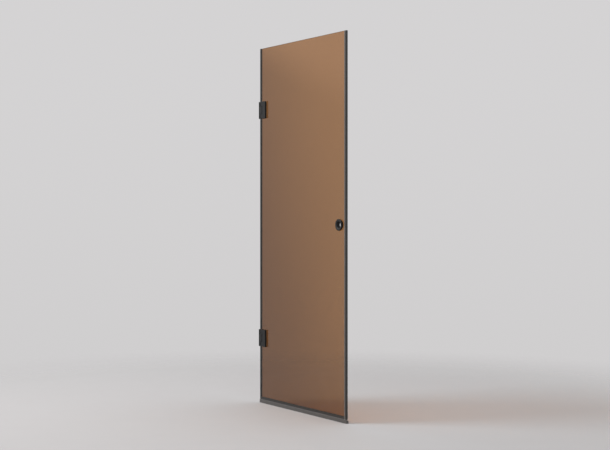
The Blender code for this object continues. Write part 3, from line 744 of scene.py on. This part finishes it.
class DOOR_OT_hinges(bpy.types.Operator):
    """Makes the clamp plates, knuckles and wall plates of both hinges"""

    bl_idname = "door.hinges"
    bl_label = "Hinges"

    def execute(self, context):
        settings = context.scene.door_hinges
        coat = shared("satin_black_coat", coat_material, settings)
        for prefix, middle in zip(PREFIXES, HINGE_MIDDLES):
            self.make_knuckle(prefix, settings, coat)
            node, radius = f"{prefix}_hinge_wall_plate", settings.plate_softness
            soften(node, f"{prefix}_wall_plate", radius, coat, FIXED, "black_coat")
            for face, side in (("outer", -1), ("inner", 1)):
                self.make_clamp_plate(prefix, face, side, middle, settings, coat)
        return {"FINISHED"}

    def make_knuckle(self, prefix, settings, coat):
        """The block that the pin turns in: a neck and a barrel, flat on the inside."""
        low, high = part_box(f"{prefix}_hinge_knuckle")
        start = math.degrees(math.asin(settings.neck / 2 / BARREL_RADIUS)) - 180
        end = math.degrees(math.asin(high.y / BARREL_RADIUS))
        outline = [(low.x, -settings.neck / 2)]
        outline += arc((PIN_X, 0), BARREL_RADIUS, start, end, settings.segments // 2)
        outline += [(low.x, high.y)]
        bm = upright(outline, low.z, high.z)
        round_ends(bm, settings.end_radius, 2, (low.z, high.z))
        block = made_object(f"{prefix}_knuckle", bm)
        radius = PIN_RADIUS + settings.bore_gap
        bore = rod(f"{prefix}_bore", about_pin, radius, low.z - OVERSHOOT, high.z + OVERSHOOT, SCREW_STEPS)
        shaped(block, "DIFFERENCE", bore)
        finished(block, coat, FIXED, "black_coat", f"{prefix}_hinge_knuckle")

    def make_clamp_plate(self, prefix, face, side, middle, settings, coat):
        """A plate that grips the glass and the pin; side is -1 outside and 1 inside."""
        node = f"{prefix}_hinge_{face}_plate"
        low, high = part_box(node)
        inner = GASKET_BACK + settings.bore_gap
        outer = max(-low.y, high.y)
        sweep = math.hypot(PIN_X - low.x, inner)
        near, far = math.degrees(math.asin(inner / sweep)), math.degrees(math.asin(outer / sweep))
        outline = arc((PIN_X, 0), sweep, 180 - near, 180 - far, CORNER_STEPS)
        radius = settings.edge_radius
        outline += arc((high.x - radius, outer - radius), radius, 90, 0, CORNER_STEPS // 2)
        outline.append((high.x, inner))
        bm = upright([(x, side * y) for x, y in outline], low.z, high.z)
        round_ends(bm, settings.end_radius, 2, (low.z, high.z))
        plate = made_object(f"{prefix}_{face}_clamp", bm)
        shaped(plate, "UNION", *self.bosses(prefix, side, middle, inner, outer, settings))
        shaped(plate, "DIFFERENCE", *self.hollows(prefix, side, middle, low, high, settings))
        finished(plate, coat, LEAF, "black_coat", node)

    def bosses(self, prefix, side, middle, inner, outer, settings):
        """The blocks above and below the knuckle that hold the pin."""
        glass = bpy.context.scene.door_glass
        left = PIN_X - settings.boss_reach
        right, low = knuckle_space(settings)
        high = PLATE_HALF_HEIGHT - glass.grip_band - glass.notch_gap
        radius = glass.notch_radius - glass.notch_gap
        corner = arc((right - radius, high - radius), radius, 0, 90, CORNER_STEPS)
        outline = [(left, low), (right, low), *corner, (left, high)]
        made = []
        for sign in (1, -1):
            points = [(x, middle + sign * z) for x, z in outline]
            start, end = side * settings.bore_gap / 2, side * (inner + outer) / 2
            made.append(made_object(f"{prefix}_boss", across_glass(points, start, end)))
        return made

    def hollows(self, prefix, side, middle, low, high, settings):
        """The knuckle's notch, the pin's groove and the holes of the clamp screws."""
        right, half = knuckle_space(settings)
        bottom, top, left = middle - half, middle + half, -OVERSHOOT
        notch = [(left, bottom), (right, bottom), (right, top), (left, top)]
        block = across_glass(notch, -OVERSHOOT * side, (BARREL_RADIUS + OVERSHOOT) * side)
        made = [made_object(f"{prefix}_notch", block)]
        radius = PIN_RADIUS + settings.bore_gap
        start, end = low.z - OVERSHOOT, high.z + OVERSHOOT
        made.append(rod(f"{prefix}_groove", about_pin, radius, start, end, SCREW_STEPS))
        for place in ("top", "bottom"):
            made.append(self.screw_hole(f"{prefix}_hinge_clamp_screw_{place}", settings))
        return made

    def screw_hole(self, node, settings):
        """The countersunk hole round a clamp screw."""
        low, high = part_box(node)
        middle = middle_of(node)
        head, shank = screw_radii(node, 1)
        gap = settings.bore_gap
        profile = [(head + gap, -OVERSHOOT), (head + gap, settings.screw_rim)]
        profile += [(shank + gap, settings.screw_rim + head - shank), (shank + gap, high.y - low.y + gap)]
        bm = turned(
            profile, lambda a, b, height: (middle.x + a, high.y - height, middle.z + b), SCREW_STEPS
        )
        return made_object(f"{node}_hole", bm)


def screw_radii(node, along):
    """The radii of a CAD screw's head and shank; along is its axis, 0 for X and 1 for Y."""
    low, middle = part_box(node)[0], middle_of(node)
    points = [vert.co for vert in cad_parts[node].data.vertices]
    tip = [point - middle for point in points if point[along] < low[along] + TOUCH]
    for offset in tip:
        offset[along] = 0.0
    return half_of(node).z, max(offset.length for offset in tip)


class DOOR_OT_screws(bpy.types.Operator):
    """Makes the countersunk screws of both hinges with Geometry Nodes"""

    bl_idname = "door.screws"
    bl_label = "Screws"

    def execute(self, context):
        settings = context.scene.door_hinges
        steel = shared("blackened_steel", steel_material, settings)
        shape = screw_shape()
        self.make_set("wall", 0, (0.0, QUARTER, 0.0), FIXED, shape, settings, steel)
        self.make_set("clamp", 1, (-QUARTER, 0.0, 0.0), LEAF, shape, settings, steel)
        return {"FINISHED"}

    def make_set(self, kind, along, turn, body, shape, settings, steel):
        """The four like screws of one kind, as one piece; along is their axis, 0 for X and 1 for Y."""
        nodes = [f"{prefix}_hinge_{kind}_screw_{end}" for prefix in PREFIXES for end in ("top", "bottom")]
        lower_top, lower_bottom, upper_top = [middle_of(node) for node in nodes[:3]]
        low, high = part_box(nodes[1])
        head, shank = screw_radii(nodes[1], along)
        first = lower_bottom.copy()
        first[along] = high[along]
        screws = grown(f"{kind}_screws", shape, {
            "First": first,
            "Turn": turn,
            "Pair Spacing": lower_top.z - lower_bottom.z,
            "Hinge Spacing": upper_top.z - lower_top.z,
            "Head Radius": head,
            "Shank Radius": shank,
            "Length": high[along] - low[along],
            "Rim": settings.screw_rim,
            "Socket Radius": shank * settings.socket_share,
            "Socket Depth": settings.socket_depth,
            "Material": steel,
        })
        finished(screws, steel, body, "dark_steel", *nodes)


def screw_shape():
    """A countersunk screw with a six-sided socket, set out in two pairs."""
    sizes = ("Pair Spacing", "Hinge Spacing", "Head Radius", "Shank Radius", "Length", "Rim")
    sizes += ("Socket Radius", "Socket Depth")
    shape = Shape("countersunk_screws", ("First", "Turn"), sizes)
    head, shank, rim = shape["Head Radius"], shape["Shank Radius"], shape["Rim"]
    neck, foot = shank - head - rim, 0 - shape["Length"]
    corners = ((0.0, 0.0), (head, 0.0), (head, 0 - rim), (shank, neck), (shank, foot), (0.0, foot))
    body = shape.turned([(*corner, 0.0) for corner in corners], head, SCREW_STEPS, 1)
    depth = shape["Socket Depth"] + OVERSHOOT
    socket = shape.drum(shape["Socket Radius"], depth, OVERSHOOT, SOCKET_SIDES)
    settings = {"operation": "DIFFERENCE", "solver": "EXACT"}
    inputs = {"Mesh 1": body, "Mesh 2": socket}
    screw = shape.node("GeometryNodeMeshBoolean", settings, inputs).outputs["Mesh"]
    turn = shape.node("FunctionNodeEulerToRotation", {}, {0: shape["Turn"]}).outputs[0]
    pair = shape.pair(screw, shape.point(), shape["Pair Spacing"], turn)
    return shape.end(shape.pair(pair, shape["First"], shape["Hinge Spacing"]))


class DOOR_OT_pull(bpy.types.Operator):
    """Makes the two rings of the pull with Geometry Nodes"""

    bl_idname = "door.pull"
    bl_label = "Ring pull"

    def execute(self, context):
        settings = context.scene.door_pull
        coat = shared("satin_black_coat", coat_material, context.scene.door_hinges)
        shape = ring_shape()
        bore, inner_edge = settings.bore_radius, settings.inner_edge_radius
        outer = ("outer", -1, settings.edge_radius, settings.lip_radius)
        inner = ("inner", 1, inner_edge, inner_edge)
        for name, side, edge, lip in (outer, inner):
            node = f"pull_{name}_ring"
            back, face = sorted(side * corner.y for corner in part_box(node))
            ring = grown(f"{name}_pull_ring", shape, {
                "Centre": (PULL_MIDDLE.x, 0.0, PULL_MIDDLE.z),
                "Turn": (-side * QUARTER, 0.0, 0.0),
                "Radius": half_of(node).x,
                "Bore Radius": bore,
                "Sleeve Radius": bore + settings.sleeve_wall,
                "Face": face,
                "Seat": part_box("pull_inner_ring")[0].y,
                "Back": back,
                "Edge Radius": edge,
                "Lip Radius": lip,
                "Segments": settings.segments,
                "Corner Steps": settings.corner_steps,
                "Material": coat,
            })
            finished(ring, coat, LEAF, "black_coat", node)
        return {"FINISHED"}


def ring_shape():
    """A ring turned about Z from a profile that has a sleeve, a rounded edge and a rounded lip."""
    sizes = ("Radius", "Bore Radius", "Sleeve Radius", "Face", "Seat", "Back", "Edge Radius", "Lip Radius")
    shape = Shape("turned_ring", ("Centre", "Turn"), sizes, ("Segments", "Corner Steps"))
    bore, edge, lip = shape["Bore Radius"], shape["Edge Radius"], shape["Lip Radius"]
    face, seat, back = shape["Face"], shape["Seat"], shape["Back"]
    radius, sleeve = shape["Radius"], shape["Sleeve Radius"]
    corners = (
        (bore, back, 0.0), (sleeve, back, 0.0), (sleeve, seat, 0.0),
        (radius, seat, 0.0), (radius, face, edge), (bore, face, lip),
    )
    ring = shape.turned(corners, bore, shape["Segments"], shape["Corner Steps"])
    return shape.end(shape.moved(ring, shape["Centre"], shape["Turn"]))


class DOOR_OT_seals(bpy.types.Operator):
    """Makes the seals on the edges of the glass"""

    bl_idname = "door.seals"
    bl_label = "Seals"

    def execute(self, context):
        settings = context.scene.door_seals
        rough, radius, tint = settings.seal_roughness, settings.edge_softness, settings.dark_colour
        dark = drawn_material("upright_dark_seal", tint, "Z", rough)
        level_dark = drawn_material("level_dark_seal", tint, "X", rough)
        grey = drawn_material("upright_grey_seal", settings.grey_colour, "Z", rough)
        for part in ("top", "middle", "bottom"):
            soften(f"hinge_edge_seal_{part}", f"{part}_hinge_seal", radius, dark, LEAF, "dark_seal", 2)
        soften("closing_edge_seal", "closing_seal", radius, grey, LEAF, "grey_seal", 2)
        soften("bottom_drip_seal", "drip_seal", radius, level_dark, LEAF, "dark_seal", 2)
        return {"FINISHED"}


class DOOR_OT_profiles(bpy.types.Operator):
    """Makes the closing profile, its magnet strip and the threshold"""

    bl_idname = "door.profiles"
    bl_label = "Profiles and threshold"

    def execute(self, context):
        settings = context.scene.door_seals
        rough, metal = settings.profile_roughness, settings.profile_metal
        dark = drawn_material("upright_graphite", settings.profile_colour, "Z", rough, metal)
        bar = drawn_material("level_graphite", settings.threshold_colour, "X", rough, metal)
        strip = drawn_material("magnet_cover", settings.dark_colour, "Z", settings.seal_roughness)
        radius = settings.edge_softness
        aluminium = "graphite_aluminium"
        soften("closing_wall_profile", "closing_profile", radius, dark, FIXED, aluminium)
        soften("closing_magnet_strip", "magnet_strip", radius, strip, FIXED, "dark_seal")
        soften("threshold", "threshold_bar", 2 * radius, bar, FIXED, aluminium)
        return {"FINISHED"}


class DOOR_OT_hidden(bpy.types.Operator):
    """Finishes the pins, gaskets and washers, which keep their CAD shape"""

    bl_idname = "door.hidden"
    bl_label = "Pins, gaskets and washers"

    def execute(self, context):
        rubber = rubber_material(context.scene.door_seals)
        steel = shared("blackened_steel", steel_material, context.scene.door_hinges)
        looks = {f"{prefix}_hinge_pin": steel for prefix in PREFIXES}
        for face in ("outer", "inner"):
            looks[f"pull_{face}_washer"] = rubber
            for prefix in PREFIXES:
                looks[f"{prefix}_hinge_{face}_gasket"] = rubber
        for node, material in looks.items():
            dress(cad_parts[node].data, material)
        return {"FINISHED"}


class DOOR_OT_stage(bpy.types.Operator):
    """Makes the floor, the backdrop, the lamps and the camera"""

    bl_idname = "door.stage"
    bl_label = "Stage"

    def execute(self, context):
        settings = context.scene.door_stage
        context.scene.view_settings.view_transform = "Standard"
        middle = (CAD_BOX[0] + CAD_BOX[1]) / 2
        self.make_floor(settings, middle)
        self.make_world(context, settings)
        self.make_lamp("key_lamp", settings.key_place, settings.key_size, settings.key_power, middle)
        self.make_lamp("top_lamp", settings.top_place, settings.top_size, settings.top_power, middle)
        self.make_camera(context, settings)
        return {"FINISHED"}

    def make_floor(self, settings, middle):
        """A round floor that fades into the backdrop."""
        bm = bmesh.new()
        bmesh.ops.create_circle(bm, cap_ends=True, radius=settings.floor_radius, segments=FLOOR_STEPS)
        bmesh.ops.translate(bm, vec=(middle.x, middle.y, FLOOR_Z), verts=bm.verts)
        mesh = bpy.data.meshes.new("studio_floor")
        bm.to_mesh(mesh)
        bm.free()
        floor = linked("studio_floor", mesh)
        rough, tint = settings.floor_roughness, settings.floor_colour
        finish = principled("studio_floor", Roughness=rough, Specular_IOR_Level=0.2)
        x, y, _ = finish.axes()
        away_x, away_y = x - middle.x, y - middle.y
        distance = (away_x * away_x + away_y * away_y).maths("SQRT")
        grain = finish.noise(7.0, detail=4.0)
        finish.feed(
            Base_Color=finish.varied(grain, tint, 0.985, 1.015),
            Alpha=1 - distance.smooth(settings.fade_start, settings.fade_end),
        )
        dress(mesh, finish.owner)

    def make_world(self, context, settings):
        """A pale backdrop for the eye, for gloss and for glass, and an even light for the rest."""
        world = bpy.data.worlds.new("studio")
        context.scene.world = world
        finish = Finish(world)
        finish.tree.nodes.clear()
        direction = finish.node("ShaderNodeTexCoord").outputs["Generated"]
        height = finish.value(finish.node("ShaderNodeSeparateXYZ", {}, {0: direction}), "Z")
        turn = height.smooth(settings.backdrop_low, settings.backdrop_high)
        tone = finish.mixed(turn, settings.lower_colour, settings.upper_colour)
        backdrop = finish.node("ShaderNodeBackground", {}, {"Color": tone, "Strength": 1.0})
        white = (1.0, 1.0, 1.0)
        light = finish.node("ShaderNodeBackground", {}, {"Color": white, "Strength": settings.ambient})
        path = finish.node("ShaderNodeLightPath")
        seen = finish.value(path, "Is Camera Ray").maths("MAXIMUM", finish.value(path, "Is Glossy Ray"))
        seen = seen.maths("MAXIMUM", finish.value(path, "Is Transmission Ray"))
        both = finish.node("ShaderNodeMixShader", {}, {0: seen, 1: light.outputs[0], 2: backdrop.outputs[0]})
        finish.node("ShaderNodeOutputWorld", {}, {"Surface": both.outputs[0]})

    def make_lamp(self, name, place, size, strength, middle):
        """A square area lamp that faces the middle of the door."""
        data = bpy.data.lights.new(name, "AREA")
        data.size = size
        data.energy = strength
        lamp = linked(name, data)
        lamp.location = place
        lamp.rotation_euler = (middle - Vector(place)).to_track_quat("-Z", "Y").to_euler()

    def make_camera(self, context, settings):
        """A level camera at the height and angle of the picture."""
        data = bpy.data.cameras.new("camera")
        data.lens = settings.lens
        data.sensor_width = settings.sensor
        data.shift_y = settings.shift
        camera = linked("camera", data)
        camera.location = settings.camera_place
        camera.rotation_euler = (QUARTER, 0.0, settings.camera_turn)
        context.scene.camera = camera


class DOOR_PT_panel(bpy.types.Panel):
    """Lists the steps that finish the door, with their settings"""

    bl_idname = "DOOR_PT_panel"
    bl_label = "Shower door"
    bl_space_type = "VIEW_3D"
    bl_region_type = "UI"
    bl_category = "Shower door"

    def draw(self, context):
        for operator in OPERATORS:
            self.layout.operator(operator.bl_idname)
        for name in SETTINGS:
            group = getattr(context.scene, name)
            box = self.layout.box()
            for key in group.bl_rna.properties.keys():
                if key not in ("rna_type", "name"):
                    box.prop(group, key)


SETTINGS = {
    "door_glass": DoorGlassSettings,
    "door_hinges": DoorHingeSettings,
    "door_pull": DoorPullSettings,
    "door_seals": DoorSealSettings,
    "door_stage": DoorStageSettings,
}
OPERATORS = (
    DOOR_OT_glass, DOOR_OT_hinges, DOOR_OT_screws, DOOR_OT_pull,
    DOOR_OT_seals, DOOR_OT_profiles, DOOR_OT_hidden, DOOR_OT_stage,
)


def register():
    """Registers the settings, the operators and the panel."""
    for part in (*SETTINGS.values(), *OPERATORS, DOOR_PT_panel):
        bpy.utils.register_class(part)
    for name, group in SETTINGS.items():
        setattr(bpy.types.Scene, name, PointerProperty(type=group))


def unregister():
    """Removes what register added."""
    for name in SETTINGS:
        delattr(bpy.types.Scene, name)
    for part in (DOOR_PT_panel, *OPERATORS, *SETTINGS.values()):
        bpy.utils.unregister_class(part)


def main():
    """Makes every piece and the stage."""
    register()
    bpy.ops.door.glass()
    bpy.ops.door.hinges()
    bpy.ops.door.screws()
    bpy.ops.door.pull()
    bpy.ops.door.seals()
    bpy.ops.door.profiles()
    bpy.ops.door.hidden()
    bpy.ops.door.stage()


if __name__ == "__main__":
    main()
